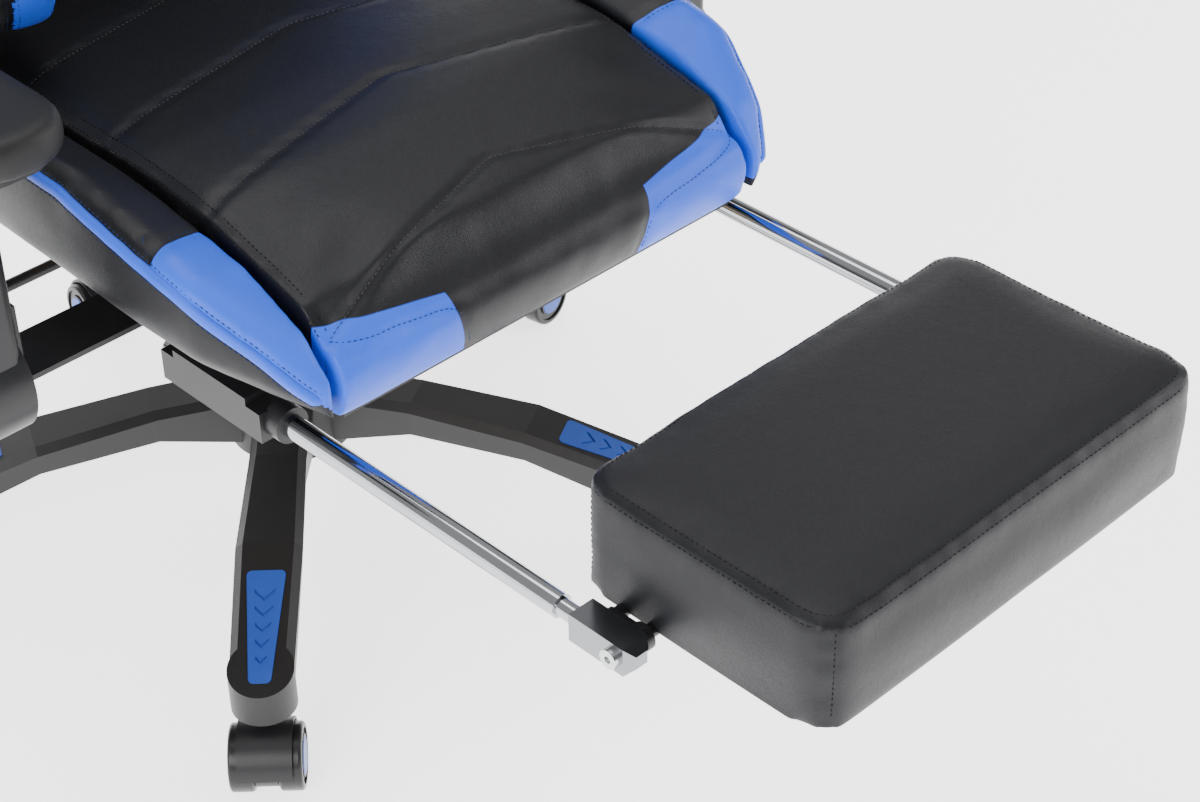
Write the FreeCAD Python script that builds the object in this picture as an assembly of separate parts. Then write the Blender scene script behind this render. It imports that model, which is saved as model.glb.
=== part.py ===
import FreeCAD, Part
import math
import os

# Gaming chair, in millimetres. The floor is z = 0 and the column stands on the z axis.
# The sitter looks along -y, so the sitter's right is -x.

V = FreeCAD.Vector
X, Y, Z = V(1, 0, 0), V(0, 1, 0), V(0, 0, 1)
os.makedirs("parts", exist_ok=True)

# ---- clearances ----
RUN = 0.05              # radial clearance of a turning or sliding fit
SLIP = 0.4              # gap beside a sliding or turning flat face

# ---- base and casters ----
LEGS = 5
LEG_TURN = -42.8        # degrees from -y to the first leg
STEM_RADIUS = 312.0     # floor circle that the caster stems stand on
TIP_RADIUS = 24.0
LEG_WIDTH = 50.0
LEG_WAIST = 44.0
LEG_EDGE = 6.0          # bevel beside the leg's flat top
HUB_RADIUS = 50.0
HUB_TOP, HUB_BOTTOM = 133.0, 84.0
LEG_MID = 205.0         # radius where the leg starts to fall away
LEG_MID_TOP = 124.0
LEG_TIP_TOP = 97.0
LEG_DEEP = 24.0         # depth of the leg where it arches
LEG_WALL = 5.0
INSERT_START, INSERT_END = 230.0, 324.0
INSERT_WIDE, INSERT_NARROW = 29.0, 16.0
INSERT_DEEP = 3.0
WHEEL_RADIUS = 25.0
LEG_BOTTOM = 2 * WHEEL_RADIUS + 14     # underside of the tip, clear above the hood
WHEEL_WIDTH = 17.5
WEB = 16.0              # thickness of the hood's web between the two wheels
WHEEL_GAP = 1.0
TRAIL = 14.0            # how far the axle trails the stem
STEM = 5.0
STEM_LOW = WHEEL_RADIUS + 10
STEM_TOP = LEG_TIP_TOP - INSERT_DEEP - 8     # stays below the insert's pocket
AXLE = 4.0
HOOD_RADIUS = WHEEL_RADIUS + 3.5
HOOD_HALF = 20.0
CAP = 14.0              # radius of the wheel's hub cap

# ---- column ----
TUBE = 25.0
TUBE_TOP = 232.0
PISTON = 14.0
PISTON_TOP = 318.0
COVER = TUBE + 11       # outer radius of the lowest cover
COVER_WALL = 2.5
COVER_PLAY = 0.3
LOWER_TOP = 215.0
MIDDLE_BOTTOM, MIDDLE_TOP = 150.0, 240.0
UPPER_BOTTOM = 185.0

# ---- mechanism under the seat ----
MECH_BOTTOM = 275.0
MECH_HALF = 48.0
MECH_FRONT, MECH_BACK = -95.0, 75.0
TILT_Y, TILT_Z = -60.0, 312.0
PIN = 6.0
PLATE_TOP = 343.0       # the seat bolts down on this plane
PLATE = 4.0
CHEEK = 4.0
KNOB_RADIUS = 22.0
KNOB_Z = 298.0
LEVER_Y, LEVER_Z = 50.0, 283.0
LEVER = 4.5
LEVER_END = 300.0

# ---- seat ----
SEAT_HALF = 190.0
SEAT_FRONT, SEAT_BACK = -328.0, 125.0
SEAT_TOP = 453.0
FRAME_TUBE = 18.0
FRAME_HALF = SEAT_HALF - 11     # the steel ring ends inside the bolsters
BOARD = 12.0
BOLSTER_OUT = 247.0
BOLSTER_BACK = 100.0

# ---- footrest ----
RAIL_X, RAIL_Z = 195.0, 327.0
RAIL = 8.0
RAIL_BACK = -148.5
HOLDER_BACK, HOLDER_FRONT = -157.0, -262.0
COLLAR = 13.0
CLEVIS_BACK, CLEVIS_FRONT = -541.0, -591.0
CLEVIS = 20.0
FLIP_Y = -577.0
PAD_HALF = 175.0
PAD_FRONT, PAD_BACK = -713.0, -509.0
PAD_BOTTOM, PAD_TOP = 325.0, 406.0
ROD = 4.5
ROD_GAP = 24.0          # between the two cross rods
PAD_RIM = 14.0          # foam left round the board
PAD_CORNER = 26.0

# ---- backrest ----
HINGE_Y, HINGE_Z = 165.0, 400.0
LEAN = 12.0             # degrees the back leans from upright
BACK_TALL = 850.0
BACK_FRONT = 35.0       # foam face in front of the hinge line
BACK_FOAM_BACK = -9.0   # where the foam ends and the steel frame starts
WING = 186.0            # how far the side wings stand forward of the hinge line
SLOT_X, SLOT_UP = 82.0, 655.0
SLOT_WIDE, SLOT_HIGH = 70.0, 34.0
BACK_TUBE_X = 174.0     # axis of the upright frame tubes
ARM_LOW, ARM_HIGH = 62.0, 150.0     # where the recliner arms reach through the shell's rim
BRACKET = 5.0           # recliner plates
STAND = 26.0
GRIP_X = BOLSTER_OUT + 15
STRAP = 1.6             # webbing

# ---- armrests ----
ARM_X = 318.0
ARM_Y = -105.0
ARM_TOP = 569.0
ARM_COLUMN_TOP = 470.0
ARM_PAD_LONG, ARM_PAD_WIDE, ARM_PAD_THICK = 262.0, 84.0, 28.0
ARM_PAD_BACK = 19.0     # how far the pad's middle lies behind the column
ARM_WIDE, ARM_HALF = 34.0, 35.0
ARM_WALL = 3.6
ARM_STRAP_HALF = 24.0
BUTTON_Z = 444.0


def save(name, *shapes):
    """Writes one node: a solid, or a group of separate solids."""
    solids = [s for shape in shapes for s in shape.Solids]
    for s in solids:
        if not s.isValid():
            raise SystemExit(name + " is not valid")
    out = solids[0] if len(solids) == 1 else Part.makeCompound(solids)
    out.exportStep("parts/" + name + ".step")


def box(x0, x1, y0, y1, z0, z1):
    """A block between two corners."""
    low = V(min(x0, x1), min(y0, y1), min(z0, z1))
    return Part.makeBox(abs(x1 - x0), abs(y1 - y0), abs(z1 - z0), low)


def rod(radius, start, end):
    """A round bar from one point to another."""
    start, end = V(*start), V(*end)
    return Part.makeCylinder(radius, (end - start).Length, start, end - start)


def tube(radius, bore, start, end):
    """A round tube from one point to another."""
    return rod(radius, start, end).cut(rod(bore, start, end))


def prism(points, along):
    """A flat outline pushed along a vector."""
    ring = [V(*p) for p in points]
    return Part.Face(Part.makePolygon(ring + ring[:1])).extrude(V(*along))


def skin(sections):
    """A solid through closed outlines with equal numbers of corners."""
    wires = []
    for section in sections:
        ring = [V(*p) for p in section]
        wires.append(Part.makePolygon(ring + ring[:1]))
    return Part.makeLoft(wires, True, True)


def joined(*shapes):
    """One solid from touching or overlapping pieces."""
    first = shapes[0]
    for other in shapes[1:]:
        first = first.fuse(other)
    return first.removeSplitter()


def mirrored(shape):
    """The same piece on the other side of the chair."""
    return shape.mirror(V(0, 0, 0), X)


def turned(shape, angle, centre=(0, 0, 0), axis=(0, 0, 1)):
    """A copy turned about an axis."""
    copy = shape.copy()
    copy.rotate(V(*centre), V(*axis), angle)
    return copy


def rounded(shape, radius, keep):
    """Rounds the edges that keep() picks."""
    edges = [e for e in shape.Edges if keep(e)]
    return shape.makeFillet(radius, edges) if edges else shape


def straight(edge, axis):
    """True for a straight edge along an axis."""
    if len(edge.Vertexes) != 2:
        return False
    way = edge.Vertexes[1].Point - edge.Vertexes[0].Point
    return way.Length > 1e-6 and abs(way.normalize().dot(axis)) > 0.999


# ==== star base: one moulded nylon piece, ribbed underneath ====
FALL = (LEG_MID_TOP - LEG_TIP_TOP) / (STEM_RADIUS - LEG_MID)


def leg_top(r):
    return LEG_MID_TOP - (r - LEG_MID) * FALL


def leg_section(r, wide, top, bottom, edge):
    h = wide / 2
    return [(-h + 2, -r, bottom), (-h, -r, top - edge), (-h + edge, -r, top),
            (h - edge, -r, top), (h, -r, top - edge), (h - 2, -r, bottom)]


def leg_solid(inset, edge):
    """The leg along -y. An inset gives the hollow inside its walls."""
    below = 10 if inset else 0
    tip = STEM_RADIUS - TIP_RADIUS - 5 if inset else STEM_RADIUS
    rows = [(36, LEG_WAIST + 2, HUB_TOP - 2, HUB_BOTTOM), (110, LEG_WAIST, HUB_TOP - 1, 104),
            (LEG_MID, LEG_WIDTH, LEG_MID_TOP, LEG_MID_TOP - LEG_DEEP), (tip, LEG_WIDTH - 4, leg_top(tip), LEG_BOTTOM)]
    return skin([leg_section(r, w - 2 * inset, top - inset, low - below, edge) for r, w, top, low in rows])


above = prism([(-60, -LEG_MID, leg_top(LEG_MID)), (-60, -400, leg_top(400)), (-60, -400, 200),
               (-60, -LEG_MID, 200)], (120, 0, 0))
tip = rod(TIP_RADIUS, (0, -STEM_RADIUS, LEG_BOTTOM), (0, -STEM_RADIUS, LEG_MID_TOP)).cut(above)
leg = joined(leg_solid(0, LEG_EDGE), tip)
hollow = leg_solid(LEG_WALL, LEG_EDGE - 2)
ribs = [box(-60, 60, -r - 1.5, -r + 1.5, LEG_BOTTOM + 12, HUB_TOP) for r in (110, 160, 210, 255)]
for rib in ribs:
    hollow = hollow.cut(rib)


def insert_solid(grow):
    """The blue insert, flush in a pocket along the falling part of the leg."""
    low = [(-INSERT_WIDE / 2 - grow, INSERT_START - grow), (-INSERT_NARROW / 2 - grow, INSERT_END + grow),
           (INSERT_NARROW / 2 + grow, INSERT_END + grow), (INSERT_WIDE / 2 + grow, INSERT_START - grow)]
    ring = [(x, -r, leg_top(r) - INSERT_DEEP) for x, r in low]
    block = prism(ring, (0, 0, INSERT_DEEP + (0.6 if grow == 0 else 6)))
    return rounded(block, 4.0, lambda e: straight(e, Z))


leg = leg.cut(insert_solid(0.1))
insert = insert_solid(0)
for n in range(5):
    r = INSERT_START + 16 + n * 14
    half = 7.5 - n * 0.9
    mark = prism([(-half, -r, 60), (0, -r - half, 60), (half, -r, 60), (half, -r - 3, 60),
                  (0, -r - half - 3, 60), (-half, -r - 3, 60)], (0, 0, 100))
    band = prism([(-20, -190, leg_top(190) - 0.6), (-20, -345, leg_top(345) - 0.6),
                  (20, -345, leg_top(345) - 0.6), (20, -190, leg_top(190) - 0.6)], (0, 0, 20))
    insert = insert.cut(mark.common(band))

base = rod(HUB_RADIUS, (0, 0, HUB_BOTTOM - 6), (0, 0, HUB_TOP))
inserts, stems = [], []
for k in range(LEGS):
    angle = LEG_TURN + k * 360 / LEGS
    base = base.fuse(turned(leg, angle))
    inserts.append(turned(insert, angle))
for k in range(LEGS):
    angle = LEG_TURN + k * 360 / LEGS
    base = base.cut(turned(hollow.cut(rod(HUB_RADIUS, (0, 0, 0), (0, 0, 200))), angle))
    stem = joined(rod(STEM, (0, -STEM_RADIUS, STEM_LOW), (0, -STEM_RADIUS, STEM_TOP)),
                  rod(9, (0, -STEM_RADIUS, LEG_BOTTOM - 2), (0, -STEM_RADIUS, LEG_BOTTOM)))
    stem = turned(stem, angle)
    base = base.cut(turned(rod(STEM, (0, -STEM_RADIUS, STEM_LOW), (0, -STEM_RADIUS, STEM_TOP)), angle))
    stems.append(stem)
base = base.removeSplitter().cut(rod(TUBE, (0, 0, 0), (0, 0, HUB_TOP + 20)))
save("star_base", base)
save("base_inserts", *inserts)
save("caster_stems", *stems)


# ==== casters: a hood with its axle, and two wheels ====
def caster():
    """Hood and two wheels with the axle along x and the stem ahead of it at +y."""
    zc = WHEEL_RADIUS
    half = WEB / 2
    web = joined(rod(WHEEL_RADIUS - 3.5, (-half, 0, zc), (half, 0, zc)),
                 box(-half, half, 2, TRAIL + 8, zc, LEG_BOTTOM - 2.8))
    ring = tube(HOOD_RADIUS, HOOD_RADIUS - 2.2, (-HOOD_HALF, 0, zc), (HOOD_HALF, 0, zc))
    ring = ring.cut(box(-60, 60, -60, 60, -60, zc + 2))
    inner = rod(HOOD_RADIUS, (-half, 0, zc), (half, 0, zc)).cut(box(-60, 60, -60, 60, -60, zc + 2))
    axle = rod(AXLE, (-half - WHEEL_GAP - WHEEL_WIDTH + 3, 0, zc), (half + WHEEL_GAP + WHEEL_WIDTH - 3, 0, zc))
    hood = joined(web, inner, ring, axle)
    hood = hood.cut(rod(STEM + RUN, (0, TRAIL, STEM_LOW - 0.5), (0, TRAIL, 90)))
    x0 = half + WHEEL_GAP
    x1 = x0 + WHEEL_WIDTH
    wheel = rod(WHEEL_RADIUS, (x0, 0, zc), (x1, 0, zc))
    wheel = wheel.makeFillet(2.5, [e for e in wheel.Edges if e.Curve.TypeId == "Part::GeomCircle"])
    wheel = wheel.cut(rod(AXLE + RUN, (0, 0, zc), (x1 - 2.8, 0, zc)))
    wheel = wheel.cut(tube(CAP + 6.5, CAP + 1.5, (x1 - 1.5, 0, zc), (x1 + 5, 0, zc)))
    wheel = wheel.cut(rod(CAP, (x1 - 2, 0, zc), (x1 + 5, 0, zc)))
    cap = rod(CAP, (x1 - 2, 0, zc), (x1 + 0.5, 0, zc))
    cap = cap.makeFillet(1.2, [e for e in cap.Edges if abs(e.BoundBox.XMin - x1 - 0.5) < 0.01
                               and abs(e.BoundBox.XMax - x1 - 0.5) < 0.01])
    other = [mirrored(s) for s in (wheel, cap)]
    return hood, (wheel, cap), other


hood, wheel_a, wheel_b = caster()
for k in range(LEGS):
    angle = LEG_TURN + k * 360 / LEGS

    def placed(shape):
        copy = shape.copy()
        copy.translate(V(0, -STEM_RADIUS - TRAIL, 0))
        return turned(copy, angle)

    save("caster_%d_hood" % (k + 1), placed(hood))
    save("caster_%d_wheel_left" % (k + 1), *[placed(s) for s in wheel_a])
    save("caster_%d_wheel_right" % (k + 1), *[placed(s) for s in wheel_b])

# ==== gas lift column and its three covers ====
tube_part = joined(rod(TUBE, (0, 0, HUB_BOTTOM - 8), (0, 0, HUB_TOP)),
                   rod(TUBE - 1, (0, 0, HUB_TOP), (0, 0, TUBE_TOP)))
save("gas_cylinder", tube_part.cut(rod(PISTON + RUN, (0, 0, 96), (0, 0, 400))))
piston = joined(rod(PISTON, (0, 0, 110), (0, 0, PISTON_TOP)))
save("gas_piston", piston)
cover_2 = COVER - COVER_WALL - COVER_PLAY
cover_3 = cover_2 - COVER_WALL - COVER_PLAY
save("column_cover_lower", tube(COVER, COVER - COVER_WALL, (0, 0, HUB_TOP), (0, 0, LOWER_TOP)))
save("column_cover_middle", tube(cover_2, cover_2 - COVER_WALL, (0, 0, MIDDLE_BOTTOM), (0, 0, MIDDLE_TOP)))
upper = joined(tube(cover_3, cover_3 - COVER_WALL, (0, 0, UPPER_BOTTOM), (0, 0, MECH_BOTTOM - 1)),
               tube(cover_3, PISTON, (0, 0, MECH_BOTTOM - 5), (0, 0, MECH_BOTTOM - 1)))
save("column_cover_upper", upper)

# ==== tilt mechanism: pressed steel tray on the column, seat plate hinged on its pin ====
side = [(-MECH_HALF, MECH_FRONT, MECH_BOTTOM + 6), (-MECH_HALF, MECH_FRONT, 326), (-MECH_HALF, -38, 326),
        (-MECH_HALF, 22, 319), (-MECH_HALF, MECH_BACK, 302), (-MECH_HALF, MECH_BACK, MECH_BOTTOM + 6),
        (-MECH_HALF, 40, MECH_BOTTOM), (-MECH_HALF, -60, MECH_BOTTOM)]
housing = prism(side, (2 * MECH_HALF, 0, 0))
housing = housing.cut(rod(PISTON + RUN, (0, 0, 200), (0, 0, 400)))
housing = housing.cut(rod(PIN, (-100, TILT_Y, TILT_Z), (100, TILT_Y, TILT_Z)))
for s in (-1, 1):
    ear = box(-MECH_HALF - 8, -MECH_HALF + 1, LEVER_Y + s * 13, LEVER_Y + s * 20, LEVER_Z - 6, LEVER_Z + 12)
    housing = housing.fuse(ear)
housing = housing.removeSplitter().cut(rod(3.5 + RUN, (-MECH_HALF - 3, LEVER_Y - 30, LEVER_Z + 3),
                                           (-MECH_HALF - 3, LEVER_Y + 30, LEVER_Z + 3)))
housing = housing.cut(rod(5 + RUN, (0, -400, KNOB_Z), (0, -80, KNOB_Z)))
save("mechanism_housing", housing)
cheek_out = MECH_HALF + 2 + CHEEK
save("tilt_pin", rod(PIN, (-cheek_out - 2, TILT_Y, TILT_Z), (cheek_out + 2, TILT_Y, TILT_Z)))
plate = box(-95, 95, -125, 125, PLATE_TOP - PLATE, PLATE_TOP)
for s in (-1, 1):
    cheek = box(s * (MECH_HALF + 2), s * cheek_out, -86, -30, 298, PLATE_TOP - 1)
    plate = plate.fuse(cheek)
plate = plate.removeSplitter().cut(rod(PIN + RUN, (-100, TILT_Y, TILT_Z), (100, TILT_Y, TILT_Z)))
save("seat_plate", plate)

knob = rod(KNOB_RADIUS, (0, MECH_FRONT - SLIP, KNOB_Z), (0, MECH_FRONT - 32, KNOB_Z))
for n in range(8):
    a = 2 * math.pi * n / 8
    at = (KNOB_RADIUS * 1.16 * math.cos(a), KNOB_Z + KNOB_RADIUS * 1.16 * math.sin(a))
    knob = knob.cut(rod(6, (at[0], MECH_FRONT, at[1]), (at[0], MECH_FRONT - 40, at[1])))
save("tension_knob", joined(knob, rod(5, (0, -84, KNOB_Z), (0, MECH_FRONT - 10, KNOB_Z))))

bush_z = LEVER_Z + 3
lever = joined(box(-MECH_HALF - SLIP - 0.9, -MECH_HALF - 5, LEVER_Y - 11, LEVER_Y + 11, bush_z - 9, bush_z + 9),
               rod(LEVER, (-MECH_HALF - 1, LEVER_Y, bush_z), (-LEVER_END, LEVER_Y, bush_z)),
               rod(3.5, (-MECH_HALF - 3, LEVER_Y - 22, bush_z), (-MECH_HALF - 3, LEVER_Y + 22, bush_z)))
save("height_lever", lever)
paddle = box(-LEVER_END + 22, -LEVER_END - 46, LEVER_Y - 14, LEVER_Y + 14, bush_z - 7, bush_z + 7)
paddle = rounded(paddle, 5, lambda e: straight(e, Z))
save("lever_paddle", paddle.cut(rod(LEVER, (0, LEVER_Y, bush_z), (-LEVER_END, LEVER_Y, bush_z))))

# ==== seat: square steel tube ring, plywood board, foam cushion and two bolsters ====
frame_top = PLATE_TOP + FRAME_TUBE
ring_front, ring_back = SEAT_FRONT + 19, SEAT_BACK - 9
frame = box(-FRAME_HALF, FRAME_HALF, ring_front, ring_back, PLATE_TOP, frame_top)
frame = frame.cut(box(-FRAME_HALF + FRAME_TUBE, FRAME_HALF - FRAME_TUBE, ring_front + FRAME_TUBE,
                      ring_back - FRAME_TUBE, 0, 500))
for y in (-215, -118, -60, 60):
    frame = frame.fuse(box(-FRAME_HALF + 2, FRAME_HALF - 2, y, y + 30, PLATE_TOP, frame_top))
save("seat_frame", frame.removeSplitter())
board_top = frame_top + BOARD
board = box(-FRAME_HALF, FRAME_HALF, ring_front, ring_back, frame_top, board_top)
save("seat_board", board)
profile = [(SEAT_BACK, PLATE_TOP), (SEAT_BACK, SEAT_TOP), (-118, SEAT_TOP), (-192, SEAT_TOP - 6),
           (-241, SEAT_TOP - 18), (-289, SEAT_TOP - 30), (-304, SEAT_TOP - 50), (-320, SEAT_TOP - 60),
           (SEAT_FRONT, SEAT_TOP - 76), (SEAT_FRONT + 4, SEAT_TOP - 92), (SEAT_FRONT + 12, PLATE_TOP)]
cushion = prism([(-SEAT_HALF, y, z) for y, z in profile], (2 * SEAT_HALF, 0, 0))
cushion = cushion.cut(box(-FRAME_HALF, FRAME_HALF, ring_front, ring_back, 300, board_top))
for s in (-1, 1):
    cushion = cushion.cut(box(s * FRAME_HALF, s * 200, BOLSTER_BACK - SLIP, 200, 300, frame_top))
save("seat_cushion", cushion)


def bolster_section(y, out, low, top, inner_top, inner_low):
    crown = max(out - 16, SEAT_HALF + 4)
    return [(SEAT_HALF, y, inner_low), (out - 8, y, low), (out, y, low + 14), (out, y, top),
            (crown, y, top + 6), (SEAT_HALF, y, inner_top)]


bolster = skin([bolster_section(BOLSTER_BACK, BOLSTER_OUT, 385, 474, 452, 345),
                bolster_section(-20, BOLSTER_OUT, 385, 473, 452, 345),
                bolster_section(-118, BOLSTER_OUT, 384, 467, 450, 345),
                bolster_section(-241, BOLSTER_OUT, 378, 441, 436, 345),
                bolster_section(-298, BOLSTER_OUT - 23, 366, 408, 412, 347),
                bolster_section(-324, SEAT_HALF + 14, 354, 376, 384, 349)])
save("seat_bolsters", bolster, mirrored(bolster))

# ==== footrest: two chrome rails sliding in holders, carrying a flip-over pad ====
holder = joined(box(180, 211, HOLDER_BACK, HOLDER_FRONT, RAIL_Z - 13, PLATE_TOP - 6),
                box(FRAME_HALF - FRAME_TUBE, 211, HOLDER_BACK - 14, HOLDER_FRONT + 14, PLATE_TOP - 7, PLATE_TOP),
                rod(13, (RAIL_X, HOLDER_FRONT + 2, RAIL_Z), (RAIL_X, HOLDER_FRONT - COLLAR, RAIL_Z)))
holder = holder.cut(rod(RAIL + RUN, (RAIL_X, -100, RAIL_Z), (RAIL_X, -400, RAIL_Z)))
save("rail_holders", holder, mirrored(holder))
neck = RAIL - 1.8
rail = joined(rod(RAIL, (RAIL_X, RAIL_BACK, RAIL_Z), (RAIL_X, CLEVIS_BACK + 16, RAIL_Z)),
              rod(neck, (RAIL_X, CLEVIS_BACK + 18, RAIL_Z), (RAIL_X, CLEVIS_BACK - 14, RAIL_Z)),
              rod(RAIL + 2, (RAIL_X, RAIL_BACK, RAIL_Z), (RAIL_X, RAIL_BACK - 8, RAIL_Z)))
save("footrest_rails", rail, mirrored(rail))
h = CLEVIS / 2
clevis = box(RAIL_X - h, RAIL_X + h, CLEVIS_FRONT, CLEVIS_BACK, RAIL_Z - h, RAIL_Z + h)
clevis = clevis.makeChamfer(5.5, [e for e in clevis.Edges if straight(e, X) or straight(e, Z)
                                  if e.BoundBox.YMax < CLEVIS_FRONT + 1])
clevis = clevis.cut(rod(neck, (RAIL_X, CLEVIS_BACK + 5, RAIL_Z), (RAIL_X, CLEVIS_BACK - 14, RAIL_Z)))
clevis = clevis.cut(rod(3.5, (150, FLIP_Y, RAIL_Z), (250, FLIP_Y, RAIL_Z)))
save("footrest_clevises", clevis, mirrored(clevis))
lug_out = RAIL_X - h - SLIP
lug_in = lug_out - 6
screw = joined(rod(3.5, (lug_in + 0.5, FLIP_Y, RAIL_Z), (RAIL_X + h + 1, FLIP_Y, RAIL_Z)),
               rod(6.5, (RAIL_X + h, FLIP_Y, RAIL_Z), (RAIL_X + h + 4, FLIP_Y, RAIL_Z)))
screw = screw.cut(rod(2.4, (RAIL_X + h + 1.2, FLIP_Y, RAIL_Z), (RAIL_X + h + 9, FLIP_Y, RAIL_Z)))
save("clevis_screws", screw, mirrored(screw))
lug = joined(rod(9, (lug_in, FLIP_Y, RAIL_Z), (lug_out, FLIP_Y, RAIL_Z)),
             box(lug_in, lug_out, FLIP_Y, FLIP_Y + ROD_GAP, RAIL_Z - 6, RAIL_Z + 6),
             rod(6, (lug_in, FLIP_Y + ROD_GAP, RAIL_Z), (lug_out, FLIP_Y + ROD_GAP, RAIL_Z)))
lug = lug.cut(rod(3.5 + RUN, (lug_in + 0.4, FLIP_Y, RAIL_Z), (lug_out + 1, FLIP_Y, RAIL_Z)))
bars = joined(lug, mirrored(lug), rod(ROD, (-lug_in, FLIP_Y, RAIL_Z), (lug_in, FLIP_Y, RAIL_Z)),
              rod(ROD, (-lug_in, FLIP_Y + ROD_GAP, RAIL_Z), (lug_in, FLIP_Y + ROD_GAP, RAIL_Z)))
save("footrest_crossbars", bars)
rest_low = RAIL_Z + ROD
rim = (-PAD_HALF + PAD_RIM, PAD_HALF - PAD_RIM, PAD_FRONT + PAD_RIM, PAD_BACK - PAD_RIM)
rest_board = rounded(box(*rim, rest_low, rest_low + 10), PAD_CORNER - PAD_RIM, lambda e: straight(e, Z))
save("footrest_board", rest_board)
pad = box(-PAD_HALF, PAD_HALF, PAD_FRONT, PAD_BACK, PAD_BOTTOM, PAD_TOP)
pad = rounded(pad, PAD_CORNER, lambda e: straight(e, Z))
pad = pad.cut(rest_board)
pad = pad.cut(rounded(box(*rim, PAD_BOTTOM - 20, rest_low), PAD_CORNER - PAD_RIM, lambda e: straight(e, Z)))
for y in (FLIP_Y, FLIP_Y + ROD_GAP):
    pad = pad.cut(rod(ROD, (-200, y, RAIL_Z), (200, y, RAIL_Z)))
    pad = pad.cut(box(-200, 200, y - ROD, y + ROD, 300, RAIL_Z))
save("footrest_cushion", pad)


# ==== backrest, drawn upright from its hinge line and then leaned back ====
def leaned(shape):
    copy = shape.copy()
    copy.translate(V(0, HINGE_Y, HINGE_Z))
    return turned(copy, -LEAN, (0, HINGE_Y, HINGE_Z), (1, 0, 0))


def back_outline(inset, y):
    half = [(0, 186), (60, 192), (150, 200), (300, 196), (400, 208), (480, 238), (530, 262), (575, 262),
            (612, 236), (650, 190), (700, 160), (770, 146), (815, 128), (BACK_TALL, 86)]
    rows = [(w - inset if n else w + inset, up) for n, (up, w) in enumerate(half)]
    rows = [(w - inset, min(max(up, inset), BACK_TALL - inset)) for up, w in half]
    right = [(x, y, up) for x, up in rows]
    return right + [(-x, y, up) for x, _, up in reversed(right)]


def slots(grow, y0, y1):
    """The two harness openings beside the neck."""
    made = []
    for s in (-1, 1):
        block = box(s * SLOT_X - SLOT_WIDE / 2 - grow, s * SLOT_X + SLOT_WIDE / 2 + grow, y0, y1,
                    SLOT_UP - SLOT_HIGH / 2 - grow, SLOT_UP + SLOT_HIGH / 2 + grow)
        made.append(rounded(block, 10 + grow / 2, lambda e: straight(e, Y)))
    return made


foam = prism(back_outline(0, -BACK_FRONT), (0, BACK_FRONT - BACK_FOAM_BACK, 0))
for s in slots(4, -100, 100):
    foam = foam.cut(s)
save("back_cushion", leaned(foam))

frame_y0, frame_y1 = -BACK_FOAM_BACK, -BACK_FOAM_BACK + FRAME_TUBE
posts = [(BACK_TUBE_X, 34), (BACK_TUBE_X, 480), (134, 590), (134, 700), (112, 805)]


def bar(a, b, wide):
    """A square tube in the back's plane between two (x, up) points."""
    ax, az = a
    bx, bz = b
    length = math.hypot(bx - ax, bz - az)
    nx, nz = -(bz - az) / length * wide / 2, (bx - ax) / length * wide / 2
    ring = [(ax + nx, frame_y0, az + nz), (bx + nx, frame_y0, bz + nz),
            (bx - nx, frame_y0, bz - nz), (ax - nx, frame_y0, az - nz)]
    return prism(ring, (0, frame_y1 - frame_y0, 0))


back_frame = None
for a, b in zip(posts, posts[1:]):
    for s in (-1, 1):
        piece = bar((a[0] * s, a[1]), (b[0] * s, b[1]), FRAME_TUBE)
        back_frame = piece if back_frame is None else back_frame.fuse(piece)
for up, x in ((43, BACK_TUBE_X), (240, BACK_TUBE_X), (470, BACK_TUBE_X), (600, 125), (715, 125), (791, 110)):
    back_frame = back_frame.fuse(box(-x, x, frame_y0, frame_y1, up - 9, up + 9))
save("back_frame", leaned(back_frame.removeSplitter()))

shell_y = frame_y1 + 3
shell = prism(back_outline(0, frame_y0), (0, shell_y - frame_y0, 0))
inside = prism(back_outline(5, frame_y0), (0, frame_y1 - frame_y0, 0))
shell = shell.cut(inside)
for s in (-1, 1):
    shell = shell.cut(box(s * BACK_TUBE_X, s * 300, frame_y0, 20 + SLIP, ARM_LOW - SLIP, ARM_HIGH + SLIP))
for outer, hole in zip(slots(4, frame_y0, shell_y), slots(2, frame_y0 - 5, shell_y + 5)):
    shell = shell.fuse(outer.cut(box(-300, 300, frame_y1, 100, 0, 900))).cut(outer)
save("back_shell", leaned(shell.removeSplitter()))

bezels = []
for outer, inner in zip(slots(4, -BACK_FRONT - 3, shell_y + 3), slots(0, -100, 100)):
    bezels.append(outer.cut(inner))
rims = []
for outer, inner in zip(slots(9, -BACK_FRONT - 3, -BACK_FRONT), slots(4, -100, 100)):
    rims.append(outer.cut(inner))
rears = []
for outer, inner in zip(slots(9, shell_y, shell_y + 3), slots(4, -100, 100)):
    rears.append(outer.cut(inner))
save("strap_bezels", *[leaned(joined(a, b, c)) for a, b, c in zip(bezels, rims, rears)])


def wing_section(up, inner, outer, tip, forward, back_x):
    """One level of a side wing: its foot lies on the foam, its crest stands forward."""
    front = -BACK_FRONT
    return [(inner, front, up), (tip - 20, -forward, up), (tip + 4, -forward - 3, up),
            (outer, min(-forward + 18, front - 6), up), (back_x, front, up)]


wing = skin([wing_section(58, 128, 194, 160, WING - 22, 190), wing_section(88, 129, 203, 166, WING, 192),
             wing_section(160, 132, 206, 172, WING - 8, 193), wing_section(260, 136, 206, 178, WING - 50, 193),
             wing_section(380, 142, 214, 184, WING - 88, 200), wing_section(480, 160, 244, 206, WING - 104, 232),
             wing_section(545, 170, 262, 226, WING - 112, 256), wing_section(600, 168, 238, 206, WING - 138, 236)])
save("back_wings", leaned(wing), leaned(mirrored(wing)))

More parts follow.
